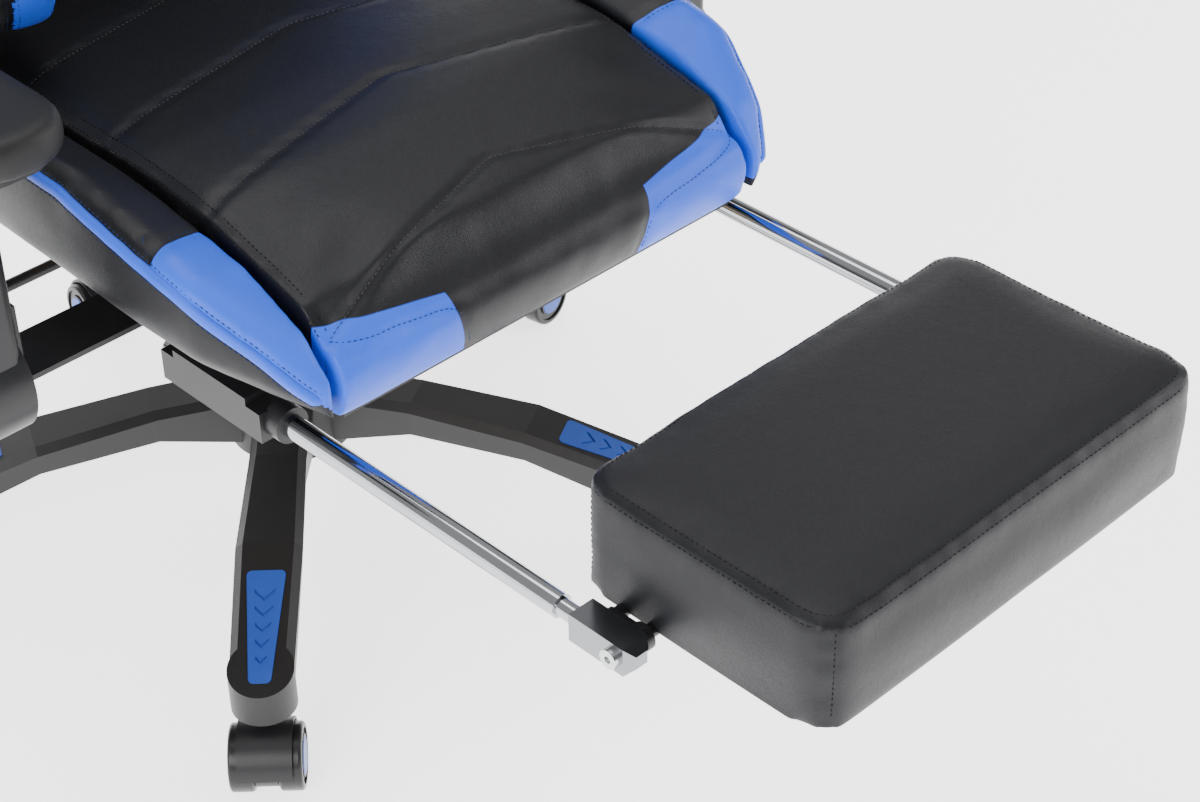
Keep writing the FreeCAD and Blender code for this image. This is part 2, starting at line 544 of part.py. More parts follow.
# ==== recliner at the two lower corners of the back ====
bracket_x = 195.0
bracket = prism([(bracket_x, 108, PLATE_TOP), (bracket_x, 108, frame_top), (bracket_x, HINGE_Y - 22, HINGE_Z + 14),
                 (bracket_x, HINGE_Y, HINGE_Z + STAND), (bracket_x, HINGE_Y + 24, HINGE_Z - 8),
                 (bracket_x, HINGE_Y, PLATE_TOP)], (BRACKET, 0, 0))
arm_in = bracket_x + BRACKET + SLIP
foot = box(FRAME_HALF, bracket_x + 1, 100, ring_back, PLATE_TOP, frame_top)
bracket = joined(bracket.cut(rod(30, (0, HINGE_Y, 300), (0, HINGE_Y, 301))), foot,
                 rod(8, (bracket_x, HINGE_Y, HINGE_Z), (arm_in + BRACKET + 1, HINGE_Y, HINGE_Z)))
save("recline_brackets", bracket, mirrored(bracket))
arm = joined(rod(22, (arm_in, 0, 0), (arm_in + BRACKET, 0, 0)),
             box(arm_in, arm_in + BRACKET, -14, 20, 0, 150),
             box(BACK_TUBE_X + FRAME_TUBE / 2, arm_in + 1, frame_y0, 20, ARM_LOW, ARM_HIGH))
arm = leaned(arm).cut(rod(8 + RUN, (0, HINGE_Y, HINGE_Z), (400, HINGE_Y, HINGE_Z)))
save("recline_arms", arm, mirrored(arm))
cover_in = arm_in + BRACKET + SLIP
cover_out = cover_in + 15
cover = joined(rod(38, (cover_in, HINGE_Y, HINGE_Z), (cover_out, HINGE_Y, HINGE_Z)),
               prism([(cover_in, 108, 350), (cover_in, 108, 392), (cover_in, HINGE_Y - 20, HINGE_Z + 32),
                      (cover_in, HINGE_Y + 20, HINGE_Z - 32), (cover_in, HINGE_Y - 20, 350)],
                     (15, 0, 0)))
cover = cover.cut(rod(8, (0, HINGE_Y, HINGE_Z), (arm_in + BRACKET + 1, HINGE_Y, HINGE_Z)))
cover_right = mirrored(cover).cut(rod(5 + RUN, (-cover_out + 9, HINGE_Y, HINGE_Z), (-400, HINGE_Y, HINGE_Z)))
save("recline_covers", cover, cover_right)
release = joined(rod(13, (cover_out + SLIP, HINGE_Y, HINGE_Z), (GRIP_X + 8, HINGE_Y, HINGE_Z)),
                 box(GRIP_X, GRIP_X + 8, HINGE_Y - 96, HINGE_Y, HINGE_Z - 9, HINGE_Z + 9),
                 rod(9, (GRIP_X, HINGE_Y - 96, HINGE_Z), (GRIP_X + 8, HINGE_Y - 96, HINGE_Z)),
                 rod(5, (cover_out - 8, HINGE_Y, HINGE_Z), (cover_out + 4, HINGE_Y, HINGE_Z)))
save("recline_lever", mirrored(release))

# ==== pillows on the back and the elastic straps that hold them ====
band = prism(back_outline(-STRAP, -BACK_FRONT - STRAP), (0, BACK_FRONT + shell_y + 2 * STRAP, 0))
band = band.cut(prism(back_outline(0, -BACK_FRONT), (0, BACK_FRONT + shell_y, 0)))
head_strap = band.common(box(-300, 300, -200, 200, 735, 775))
long_straps = []
for s in (-1, 1):
    low = box(s * 62, s * 102, -BACK_FRONT - STRAP, -BACK_FRONT, 0, SLOT_UP - SLOT_HIGH / 2 - 9)
    long_straps.append(low)
save("pillow_straps", leaned(head_strap), *[leaned(s) for s in long_straps])


def pillow(wide, tall, thick, up, y):
    block = box(-wide / 2, wide / 2, y - thick, y, up, up + tall)
    block = rounded(block, 26, lambda e: straight(e, Y))
    return rounded(block, 14, lambda e: abs(e.BoundBox.YMax - y + thick) < 0.01
                   and abs(e.BoundBox.YMin - y + thick) < 0.01)


save("headrest_pillow", leaned(pillow(240, 118, 62, 696, -BACK_FRONT - STRAP)))
save("lumbar_pillow", leaned(pillow(236, 150, 66, 118, -BACK_FRONT - STRAP - SLIP)))

# ==== armrests: steel bracket, plastic column, sliding post, button and pad ====
ARM_IN, ARM_OUT = ARM_X - ARM_WIDE / 2, ARM_X + ARM_WIDE / 2
strap = joined(box(120, ARM_IN, ARM_Y - ARM_STRAP_HALF, ARM_Y + ARM_STRAP_HALF, PLATE_TOP - 4, PLATE_TOP),
               box(ARM_IN - 5, ARM_IN, ARM_Y - ARM_STRAP_HALF, ARM_Y + ARM_STRAP_HALF, PLATE_TOP - 4, 400))
save("arm_brackets", strap, mirrored(strap))
column = box(ARM_IN, ARM_OUT, ARM_Y - ARM_HALF, ARM_Y + ARM_HALF, 342, ARM_COLUMN_TOP)
column = rounded(column, 9, lambda e: straight(e, Z))
column = joined(column, rod(42, (ARM_IN, ARM_Y, 342), (ARM_OUT + 3, ARM_Y, 342)))
column = column.cut(box(ARM_IN + ARM_WALL, ARM_OUT - ARM_WALL, ARM_Y - ARM_HALF + 7, ARM_Y + ARM_HALF - 7, 318, 600))
column = column.cut(box(ARM_X, ARM_OUT + 9, ARM_Y - 7, ARM_Y + 7, BUTTON_Z - 9, BUTTON_Z + 9))
save("arm_columns", column, mirrored(column))
pad_bottom = ARM_TOP - ARM_PAD_THICK
post = box(ARM_IN + ARM_WALL + SLIP, ARM_OUT - ARM_WALL - SLIP, ARM_Y - ARM_HALF + 7 + SLIP,
           ARM_Y + ARM_HALF - 7 - SLIP, 320, pad_bottom - 7)
post = post.cut(box(ARM_X + 5, ARM_OUT, ARM_Y - 8, ARM_Y + 8, 300, pad_bottom - 20))
rest_y0 = ARM_Y - ARM_PAD_LONG / 2 + ARM_PAD_BACK
top_plate = box(ARM_X - 33, ARM_X + 33, rest_y0 + 16, rest_y0 + ARM_PAD_LONG - 16, pad_bottom - 8, pad_bottom)
top_plate = rounded(top_plate, 24, lambda e: straight(e, Z))
post = joined(post, top_plate)
rest = box(ARM_X - ARM_PAD_WIDE / 2, ARM_X + ARM_PAD_WIDE / 2, rest_y0, rest_y0 + ARM_PAD_LONG,
           pad_bottom, ARM_TOP)
rest = rounded(rest, 36, lambda e: straight(e, Z))
rest = rounded(rest, 9, lambda e: e.BoundBox.ZMin > ARM_TOP - 0.01)
button = box(ARM_OUT - ARM_WALL + 0.6, ARM_OUT + 5, ARM_Y - 6.5, ARM_Y + 6.5, BUTTON_Z - 8.5, BUTTON_Z + 8.5)
for name, flip in (("left", lambda shape: shape), ("right", mirrored)):
    save("arm_post_" + name, flip(post))
    save("arm_pad_" + name, flip(rest))
    save("arm_button_" + name, flip(button))
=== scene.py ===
import math

import bmesh
import bpy
import numpy as np
from mathutils import Matrix, Vector
from mathutils.bvhtree import BVHTree
from mathutils.kdtree import KDTree


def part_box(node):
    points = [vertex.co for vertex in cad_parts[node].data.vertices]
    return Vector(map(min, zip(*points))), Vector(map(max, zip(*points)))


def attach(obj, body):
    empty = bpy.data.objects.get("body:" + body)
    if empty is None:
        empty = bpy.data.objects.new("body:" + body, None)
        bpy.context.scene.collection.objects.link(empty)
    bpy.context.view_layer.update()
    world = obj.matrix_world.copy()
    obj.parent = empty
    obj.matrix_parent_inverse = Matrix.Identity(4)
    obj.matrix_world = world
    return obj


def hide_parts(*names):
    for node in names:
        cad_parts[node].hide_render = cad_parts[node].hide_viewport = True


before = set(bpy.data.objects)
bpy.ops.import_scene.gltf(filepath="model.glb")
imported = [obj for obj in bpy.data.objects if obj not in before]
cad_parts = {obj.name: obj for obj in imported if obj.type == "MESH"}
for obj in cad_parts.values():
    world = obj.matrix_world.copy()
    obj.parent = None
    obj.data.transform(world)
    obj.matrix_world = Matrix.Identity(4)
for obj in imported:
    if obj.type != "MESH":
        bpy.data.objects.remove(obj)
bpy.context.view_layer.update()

# ---- Studio ----
# The chair stands on a seamless pale floor that curves up behind it, under one large soft lamp
# overhead and two fill panels, and is seen from in front and above on the sitter's right.
SENSOR_MM = 36.0
LENS_MM = 74.9
CAMERA_PLACE = (-0.94527, -1.33509, 1.29327)
CAMERA_TURN = -44.06
CAMERA_TILT = 36.51
CAMERA_ROLL = -0.86
WHITE = (1.0, 1.0, 1.0, 1.0)
SKY_STRENGTH = 0.6

scene = bpy.context.scene


def put(name, data):
    """Adds an object to the scene for a mesh, lamp or camera."""
    made = bpy.data.objects.new(name, data)
    scene.collection.objects.link(made)
    return made


lens = bpy.data.cameras.new("camera")
lens.sensor_width = SENSOR_MM
lens.lens = LENS_MM
lens.clip_end = 50.0
camera = put("camera", lens)
scene.camera = camera
turn, tilt, roll = (math.radians(a) for a in (CAMERA_TURN, CAMERA_TILT, CAMERA_ROLL))
ahead = Vector((-math.sin(turn) * math.cos(tilt), math.cos(turn) * math.cos(tilt),
                -math.sin(tilt)))
across = Vector((math.cos(turn), math.sin(turn), 0.0))
above = across.cross(ahead)
right = across * math.cos(roll) + above * math.sin(roll)
up = above * math.cos(roll) - across * math.sin(roll)
spin = Matrix((right, up, -ahead)).transposed().to_4x4()
camera.matrix_world = Matrix.Translation(CAMERA_PLACE) @ spin

world = bpy.data.worlds.new("studio")
scene.world = world
world.use_nodes = True
sky = world.node_tree.nodes["Background"]
sky.inputs["Color"].default_value = WHITE
sky.inputs["Strength"].default_value = SKY_STRENGTH


def lamp(name, place, aim, size, watts):
    """A square soft box that points at a spot."""
    light = bpy.data.lights.new(name, "AREA")
    light.shape = "SQUARE"
    light.size = size
    light.energy = watts
    holder = put(name, light)
    holder.location = place
    holder.rotation_euler = (Vector(aim) - Vector(place)).to_track_quat("-Z", "Y").to_euler()


lamp("lamp_top", (0.3, 0.2, 3.4), (0, -0.2, 0.4), 2.6, 80)
lamp("lamp_left", (-2.6, -1.2, 1.7), (0, -0.2, 0.5), 1.8, 95)
lamp("lamp_right", (2.4, -2.2, 1.5), (0, -0.3, 0.4), 1.6, 55)


# Shader maths reads as plain sums: a Wire is one output in a finish, and its operators add nodes.
class Wire:
    def __init__(self, finish, socket):
        self.finish, self.socket = finish, socket

    def sum(self, operation, *terms):
        return self.finish.node("ShaderNodeMath", {"operation": operation}, dict(enumerate(terms)))

    def __add__(self, other):
        return self.sum("ADD", self, other)

    def __radd__(self, other):
        return self.sum("ADD", other, self)

    def __sub__(self, other):
        return self.sum("SUBTRACT", self, other)

    def __rsub__(self, other):
        return self.sum("SUBTRACT", other, self)

    def __mul__(self, other):
        return self.sum("MULTIPLY", self, other)

    def __rmul__(self, other):
        return self.sum("MULTIPLY", other, self)

    def __abs__(self):
        return self.sum("ABSOLUTE", self)

    def __gt__(self, other):
        return self.sum("GREATER_THAN", self, other)


class Finish:
    """One material: its constants sit on the shader, and its nodes are added by node()."""

    def __init__(self, name, **constants):
        self.material = bpy.data.materials.new(name)
        self.material.use_nodes = True
        self.tree = self.material.node_tree
        self.shader = self.tree.nodes["Principled BSDF"]
        for key, value in constants.items():
            self.shader.inputs[key.replace("_", " ")].default_value = value

    def node(self, kind, settings=None, sockets=None, out=0):
        made = self.tree.nodes.new(kind)
        for key, value in (settings or {}).items():
            if key == "stops":
                ramp = made.color_ramp
                while len(ramp.elements) < len(value):
                    ramp.elements.new(0.5)
                for element, (at, colour) in zip(ramp.elements, value):
                    element.position, element.color = at, (*colour, 1.0)
            else:
                setattr(made, key, value)
        for key, value in (sockets or {}).items():
            self.feed(made.inputs[key], value)
        return Wire(self, made.outputs[out])

    def feed(self, socket, value):
        if isinstance(value, Wire):
            self.tree.links.new(value.socket, socket)
        elif isinstance(value, tuple) and len(value) == 3 and socket.type == "RGBA":
            socket.default_value = (*value, 1.0)
        else:
            socket.default_value = value

    def place(self):
        return self.node("ShaderNodeTexCoord", out="Object")

    def axes(self):
        parts = self.node("ShaderNodeSeparateXYZ", sockets={0: self.place()}).socket.node
        return [Wire(self, parts.outputs[n]) for n in range(3)]

    def noise(self, scale, detail=2.0, rough=0.5, at=None):
        return self.node("ShaderNodeTexNoise", sockets={
            "Vector": at or self.place(), "Scale": scale, "Detail": detail, "Roughness": rough})

    def mix(self, mask, low, high):
        return self.node("ShaderNodeMix", {"data_type": "RGBA"}, {0: mask, 6: low, 7: high}, out=2)

    def step(self, value, low, high):
        """A smooth step from 0 at low to 1 at high."""
        return self.node("ShaderNodeMapRange", {"interpolation_type": "SMOOTHSTEP"},
                         {0: value, 1: low, 2: high, 3: 0.0, 4: 1.0})

    def bumps(self, height, strength, distance, under=None):
        sockets = {"Height": height, "Strength": strength, "Distance": distance}
        if under is not None:
            sockets["Normal"] = under
        return self.node("ShaderNodeBump", sockets=sockets)

    def wear(self, **links):
        """Joins what changes over the surface to the shader."""
        for key, value in links.items():
            self.feed(self.shader.inputs[key.replace("_", " ")], value)
        return self.material


# The paper glows faintly, so that it reads as a white studio sweep.
FLOOR_ROWS = 20
FLOOR_FRONT, FLOOR_BACK = -15.0, 3.0
FLOOR_STEP = 0.9
FLOOR_HALF = 16.0
CURVE_RADIUS = 2.5

paper = Finish("floor_paper", Roughness=0.9, Emission_Color=WHITE, Emission_Strength=2.2)
paper.wear(Base_Color=paper.mix(paper.noise(3.0), (0.90, 0.90, 0.91), (0.93, 0.93, 0.93)))
floor_mesh = bpy.data.meshes.new("floor")
sweep = [(FLOOR_FRONT + n * FLOOR_STEP, 0.0) for n in range(FLOOR_ROWS + 1)]
for n in range(1, FLOOR_ROWS + 1):
    a = n / FLOOR_ROWS * math.pi / 2
    sweep.append((FLOOR_BACK + CURVE_RADIUS * math.sin(a),
                  CURVE_RADIUS - CURVE_RADIUS * math.cos(a)))
verts = [(x, y, z) for y, z in sweep for x in (-FLOOR_HALF, FLOOR_HALF)]
floor_mesh.from_pydata(verts, [], [(2 * n, 2 * n + 1, 2 * n + 3, 2 * n + 2)
                                   for n in range(2 * FLOOR_ROWS)])
for face in floor_mesh.polygons:
    face.use_smooth = True
floor = put("floor", floor_mesh)
floor_mesh.materials.append(paper.material)

# ---- Star base ----
# The base is one five-legged nylon moulding with a faintly grained, slightly glossy skin.
# A blue moulded strip with five arrow marks is pressed into a pocket on the top of each leg.


def moulded(name, colour, dusty, rough, grain=0.18, scale=900.0):
    """Injection-moulded plastic: spark-eroded grain, faint flow marks and rubbed patches."""
    plastic = Finish(name, Specular_IOR_Level=0.32)
    cloud = plastic.noise(9.0, 4.0)
    fine = plastic.noise(scale, 3.0, 0.6)
    rubbed = plastic.step(plastic.noise(28.0, 5.0, 0.65), 0.5, 0.72)
    return plastic.wear(
        Base_Color=plastic.mix(cloud * 0.7 + rubbed * 0.3, colour, dusty),
        Roughness=rough + (fine - 0.5) * 0.22 + rubbed * 0.06,
        Normal=plastic.bumps(fine, grain, 0.0004,
                             plastic.bumps(plastic.noise(30.0, 2.0), 0.08, 0.002)))


SMOOTH_BELOW = math.radians(32)


def wearing(material, *nodes):
    """Gives CAD nodes their finish and smooth shading where faces meet gently."""
    for name in nodes:
        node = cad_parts[name]
        node.data.materials.clear()
        node.data.materials.append(material)
        for face in node.data.polygons:
            face.use_smooth = True
        if "edges" not in node.modifiers:
            sharp = node.modifiers.new("edges", "EDGE_SPLIT")
            sharp.split_angle = SMOOTH_BELOW


nylon = moulded("nylon_black", (0.011, 0.011, 0.012), (0.020, 0.019, 0.020),
                0.42, 0.22, 1200.0)
blue_strip = moulded("plastic_blue", (0.020, 0.070, 0.36), (0.032, 0.095, 0.44),
                     0.36, 0.12, 1500.0)
wearing(nylon, "star_base")
wearing(blue_strip, "base_inserts")

# ---- Casters ----
# Five twin-wheel casters: a black moulded hood with its steel axle between two hard nylon
# wheels, each closed by a blue snap-in cap. A zinc-plated stem holds each one in its leg.
hood_black = moulded("plastic_black", (0.009, 0.009, 0.010), (0.018, 0.018, 0.020),
                     0.38, 0.15, 1100.0)
wheel_black = moulded("wheel_nylon", (0.007, 0.007, 0.008), (0.016, 0.016, 0.017),
                      0.30, 0.06, 1400.0)
cap_blue = moulded("cap_blue", (0.022, 0.075, 0.38), (0.034, 0.10, 0.46),
                   0.30, 0.08, 1500.0)


def plated(name, colour, rough, brushed=0.0):
    """Bright metal with faint wipe marks in its gloss."""
    metal = Finish(name, Metallic=1.0)
    smear = metal.noise(60.0, 6.0, 0.7)
    haze = metal.step(metal.noise(14.0, 3.0), 0.45, 0.75)
    return metal.wear(
        Base_Color=metal.mix(haze, colour, tuple(c * 0.88 for c in colour)),
        Roughness=rough + smear * 0.06 + haze * 0.05,
        Normal=metal.bumps(metal.noise(500.0, 2.0), 0.02 + brushed, 0.0003))


zinc = plated("steel_zinc", (0.56, 0.57, 0.58), 0.22, 0.06)
wearing(zinc, "caster_stems")
LEG_COUNT = 5
LEG_TURN = math.radians(-42.8)
AXLE_OUT = 0.326
AXLE_HIGH = 0.025
CAP_FACE = 0.0244
CAP_RADIUS = 0.0141
for k in range(LEG_COUNT):
    facing = LEG_TURN + k * math.tau / LEG_COUNT
    out = Vector((math.sin(facing), -math.cos(facing), 0.0))
    axle = Vector((-out.y, out.x, 0.0))
    hub = out * AXLE_OUT + Vector((0.0, 0.0, AXLE_HIGH))
    wearing(hood_black, "caster_%d_hood" % (k + 1))
    for side in ("left", "right"):
        name = "caster_%d_wheel_%s" % (k + 1, side)
        wearing(wheel_black, name)
        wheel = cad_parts[name].data
        wheel.materials.append(cap_blue)
        for face in wheel.polygons:
            off = face.center - hub
            along = off.dot(axle)
            if abs(along) > CAP_FACE and (off - axle * along).length < CAP_RADIUS:
                face.material_index = 1

# ---- Gas column ----
# A black-painted pressure tube stands in the base, with a ground steel piston in it, hidden
# behind three telescoping plastic covers that draw out as the seat rises.
tube_paint = moulded("cylinder_black", (0.012, 0.012, 0.013), (0.022, 0.022, 0.023),
                     0.30, 0.05, 500.0)
chrome = plated("chrome", (0.40, 0.41, 0.43), 0.06)
wearing(tube_paint, "gas_cylinder")
wearing(chrome, "gas_piston")
wearing(hood_black, "column_cover_lower", "column_cover_middle", "column_cover_upper")

# ---- Tilt mechanism ----
# Pressed and folded steel under black powder coat: a tray on the piston, the seat plate hinged
# on its pin, a moulded tension knob in front and a bent rod on the right to work the gas lift.


def coated(name, colour, pale):
    """Powder coat: orange-peel skin, with a little bare rub where it is handled."""
    paint = Finish(name, Specular_IOR_Level=0.35)
    peel = paint.noise(420.0, 2.0, 0.5)
    rub = paint.step(paint.noise(22.0, 6.0, 0.7), 0.56, 0.74)
    return paint.wear(
        Base_Color=paint.mix(rub, colour, pale),
        Roughness=0.40 + (peel - 0.5) * 0.16 - rub * 0.05,
        Normal=paint.bumps(peel, 0.25, 0.0005))


powder = coated("steel_black", (0.007, 0.007, 0.008), (0.016, 0.016, 0.017))
wearing(powder, "mechanism_housing", "seat_plate", "height_lever", "seat_frame")
wearing(zinc, "tilt_pin")
wearing(hood_black, "tension_knob", "lever_paddle")

# ---- Seat board ----
# Birch plywood under the foam, seen only from below: pale faces, darker glued edges.
ply = Finish("plywood", Specular_IOR_Level=0.3)
px, py, pz = ply.axes()
stretched = ply.node("ShaderNodeCombineXYZ", sockets={0: px * 60.0, 1: py * 4.0, 2: pz * 60.0})
ring = ply.node("ShaderNodeTexNoise", sockets={"Vector": stretched, "Scale": 1.0, "Detail": 5.0})
plies = ply.node("ShaderNodeMath", {"operation": "FRACT"}, {0: pz * 500.0}) > 0.5
ply.wear(Base_Color=ply.mix(plies, ply.mix(ring, (0.52, 0.36, 0.20), (0.40, 0.25, 0.12)),
                            ply.mix(ring, (0.42, 0.27, 0.14), (0.30, 0.18, 0.09))),
         Roughness=0.6 + ring * 0.15, Normal=ply.bumps(ring, 0.2, 0.0006))
wearing(ply.material, "seat_board", "footrest_board")

# ---- Seat cushion ----
# Cold-cure foam in a sewn cover of black synthetic leather. Four chevron seams quilt the top, a
# welt seam joins it to the side bands, and two blue corner panels are let into the front lip.


def hide(name, colours, accent=None, accents=None, rough=0.40):
    """Synthetic leather: pebbled grain, stretched smooth in patches, with soft creases."""
    skin = Finish(name, Specular_IOR_Level=0.24, Sheen_Weight=0.02, Sheen_Roughness=0.5)
    at = skin.place()
    warp = skin.node("ShaderNodeVectorMath", {"operation": "ADD"}, {
        0: at, 1: skin.node("ShaderNodeVectorMath", {"operation": "SCALE"}, {
            0: skin.node("ShaderNodeTexNoise", sockets={"Vector": at, "Scale": 180.0}, out="Color"),
            "Scale": 0.0012})})
    pebble = skin.node("ShaderNodeTexVoronoi", {"feature": "DISTANCE_TO_EDGE"},
                       {"Vector": warp, "Scale": 720.0})
    grain = skin.step(pebble, 0.0, 0.28)
    crease = skin.noise(70.0, 5.0, 0.6)
    cloud = skin.noise(6.0, 4.0)
    worn = skin.step(skin.noise(16.0, 4.0, 0.6), 0.48, 0.75)
    base = skin.mix(cloud * 0.6 + worn * 0.4, colours[0], colours[1])
    if accent is not None:
        base = skin.mix(accent(skin), base,
                        skin.mix(cloud * 0.6 + worn * 0.4, accents[0], accents[1]))
    return skin.wear(
        Base_Color=base,
        Roughness=rough - (grain - 0.5) * 0.10 + (cloud - 0.5) * 0.12 - worn * 0.05,
        Normal=skin.bumps(grain, 0.22, 0.0003, skin.bumps(crease, 0.22, 0.0012)))


BLACK = ((0.0030, 0.0031, 0.0046), (0.0055, 0.0057, 0.0080))
BLUE = ((0.013, 0.080, 0.60), (0.022, 0.105, 0.72))


def settled(made):
    """Applies a piece's modifiers to its mesh."""
    view = bpy.context.evaluated_depsgraph_get()
    mesh = bpy.data.meshes.new_from_object(made.evaluated_get(view))
    made.modifiers.clear()
    made.data = mesh
    return made


def points_of(made):
    """A piece's points as rows of x, y, z."""
    flat = np.zeros(len(made.data.vertices) * 3)
    made.data.vertices.foreach_get("co", flat)
    return flat.reshape(-1, 3)


def normals_of(made):
    """The outward direction at each of a piece's points."""
    flat = np.zeros(len(made.data.vertices) * 3)
    made.data.vertex_normals.foreach_get("vector", flat)
    return flat.reshape(-1, 3)


def moved(made, points):
    """Puts a piece's points at new places."""
    made.data.vertices.foreach_set("co", np.asarray(points, float).ravel())
    made.data.update()
    return made


def blank(name, node, voxel, tuck, closed=False):
    """A fine even skin over a CAD soft solid, drawn in a little so that it has room to swell.

    A closed skin also spans the slots in the solid, as a sewn cover does."""
    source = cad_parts[node]
    form = bmesh.new()
    form.from_mesh(source.data)
    bmesh.ops.remove_doubles(form, verts=form.verts, dist=1e-5)
    if closed:
        hull = bmesh.ops.convex_hull(form, input=form.verts)
        kept = {f for f in hull["geom"] if isinstance(f, bmesh.types.BMFace)}
        bmesh.ops.delete(form, geom=[f for f in form.faces if f not in kept], context="FACES")
    mesh = bpy.data.meshes.new(name)
    form.to_mesh(mesh)
    form.free()
    made = put(name, mesh)
    even = made.modifiers.new("even", "REMESH")
    even.mode = "VOXEL"
    even.voxel_size = voxel
    settled(made)
    return moved(made, points_of(made) - normals_of(made) * tuck)


def averaging(made):
    """A function that gives each point of a skin the mean of a field at its neighbours."""
    count = len(made.data.vertices)
    edges = np.zeros(len(made.data.edges) * 2, np.int64)
    made.data.edges.foreach_get("vertices", edges)
    edges = edges.reshape(-1, 2)
    ends = np.concatenate([edges[:, 0], edges[:, 1]])
    others = np.concatenate([edges[:, 1], edges[:, 0]])
    near = np.maximum(np.bincount(ends, minlength=count), 1)[:, None]

    def mean(field):
        return np.stack([np.bincount(ends, field[others, n], minlength=count)
                         for n in range(3)], 1) / near

    return mean


def smoothed(made, times, held=None):
    """Evens out a skin by moving each point halfway to its neighbours' middle."""
    mean = averaging(made)
    points = points_of(made)
    free = np.ones(len(points), bool) if held is None else ~held
    for _ in range(times):
        points[free] += 0.5 * (mean(points) - points)[free]
    return moved(made, points)


def evened(made, field, times):
    """Spreads a shift over a skin, so that the cover swells broadly and keeps its corners."""
    mean = averaging(made)
    for _ in range(times):
        field = mean(field)
    return field


PLUMP_FRAMES = 20
SPREAD_TIMES = 14


def capped(shift, cap):
    """A shift that moves no point further than the cap."""
    far = np.linalg.norm(shift, axis=1, keepdims=True)
    return shift * np.minimum(1.0, cap / np.maximum(far, 1e-9))


def plumped(made, held, push, cap):
    """Blows the sewn cover up like foam under it, holding the points that something backs.

    The swelling is capped, spread over the skin and let only outward, so that it never dents."""
    start = points_of(made)
    fixed = np.array([held(p) for p in start])
    group = made.vertex_groups.new(name="held")
    group.add([int(n) for n in np.nonzero(fixed)[0]], 1.0, "REPLACE")
    cloth = made.modifiers.new("cover", "CLOTH")
    cover = cloth.settings
    cover.quality = 5
    cover.mass = 0.3
    cover.tension_stiffness = cover.compression_stiffness = 15
    cover.shear_stiffness = 8
    cover.bending_stiffness = 0.5
    cover.use_pressure = True
    cover.uniform_pressure_force = push
    cover.effector_weights.gravity = 0
    cover.vertex_group_mass = "held"
    cover.shrink_min = -0.02
    cloth.collision_settings.use_collision = False
    cloth.collision_settings.use_self_collision = False
    for n in range(1, PLUMP_FRAMES + 1):
        scene.frame_set(n)
    settled(made)
    scene.frame_set(1)
    shift = evened(made, capped(points_of(made) - start, cap), SPREAD_TIMES)
    outward = normals_of(made)
    rise = (shift * outward).sum(1, keepdims=True)
    shift -= outward * np.minimum(rise, 0.0)
    moved(made, start + capped(shift, cap))
    made.vertex_groups.clear()
    return smoothed(made, 2, held=fixed)


def surface(made):
    """A skin as a tree that rays and nearest points are found on."""
    return BVHTree.FromPolygons([tuple(p) for p in points_of(made)],
                                [tuple(f.vertices) for f in made.data.polygons])


def traced(tree, corners, step, along=None):
    """Lays a line on a skin: evenly spaced (point, normal) pairs between its corners."""
    corners = [Vector(c) for c in corners]
    spots, left = [], 0.0
    for a, b in zip(corners, corners[1:]):
        far = (b - a).length
        while left < far:
            spots.append(a.lerp(b, left / far))
            left += step
        left -= far
    spots.append(corners[-1])
    laid = []
    for spot in spots:
        hit = tree.ray_cast(spot - Vector(along) * 0.3, along) if along else tree.find_nearest(spot)
        if hit[0] is None:
            hit = tree.find_nearest(spot)
        laid.append((hit[0], hit[1]))
    for _ in range(4):
        between = [((p[0] + 2 * q[0] + r[0]) / 4, (p[1] + 2 * q[1] + r[1]).normalized())
                   for p, q, r in zip(laid, laid[1:], laid[2:])]
        laid = laid[:1] + between + laid[-1:]
    return laid


def marked(lines):
    """The points of some lines as a tree that the nearest one is found in."""
    spots = [p for line in lines for p, _ in line]
    marks = KDTree(len(spots))
    for n, spot in enumerate(spots):
        marks.insert(spot, n)
    marks.balance()
    return marks


def sunk(made, lines, deep, wide, pucker):
    """Pulls the skin in along its seams, with small puckers beside them."""
    marks = marked(lines)
    points, normals = points_of(made), normals_of(made)
    for n, p in enumerate(points):
        _, which, far = marks.find(p)
        if far < wide * 5:
            pull = deep * math.exp(-(far / wide) ** 2)
            ripple = math.sin(which * 0.55 + 2.0 * math.sin(which * 0.13))
            fold = pucker * ripple * math.exp(-far / (wide * 1.6))
            points[n] = p - normals[n] * (pull + fold * min(1.0, far / (wide * 0.5)))
    return moved(made, points)


STITCH_LENGTH = 0.0032
STITCH_WIDE = 0.0009
STITCH_LIFT = 0.0002
STITCH_FACES = ((0, 2, 1), (0, 3, 2), (4, 1, 2), (4, 2, 3),
                (0, 1, 5), (0, 5, 3), (4, 5, 1), (4, 3, 5))


def riding(name, mesh, body, material):
    """Makes a smooth piece of a mesh, in its material, that moves with a body."""
    for face in mesh.polygons:
        face.use_smooth = True
    made = put(name, mesh)
    mesh.materials.append(material)
    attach(made, body)
    return made


def strung(name, body, lines, material):
    """Sewing thread: a row of small rounded stitches along lines laid on the skin."""
    verts, faces = [], []
    for line in lines:
        for n in range(len(line) - 1):
            (p, normal), (q, _) = line[n], line[n + 1]
            way = q - p
            if way.length < 1e-6:
                continue
            way.normalize()
            side = normal.cross(way).normalized() * STITCH_WIDE / 2
            mid = p + normal * STITCH_LIFT
            half = way * STITCH_LENGTH / 2
            first = len(verts)
            verts += [mid - half, mid + side, mid + normal * STITCH_WIDE * 0.55, mid - side,
                      mid + half, mid - normal * STITCH_WIDE * 0.4]
            faces += [(first + a, first + b, first + c) for a, b, c in STITCH_FACES]
    mesh = bpy.data.meshes.new(name)
    mesh.from_pydata([tuple(v) for v in verts], [], faces)
    return riding(name, mesh, body, material)


WELT_SIDES = 10


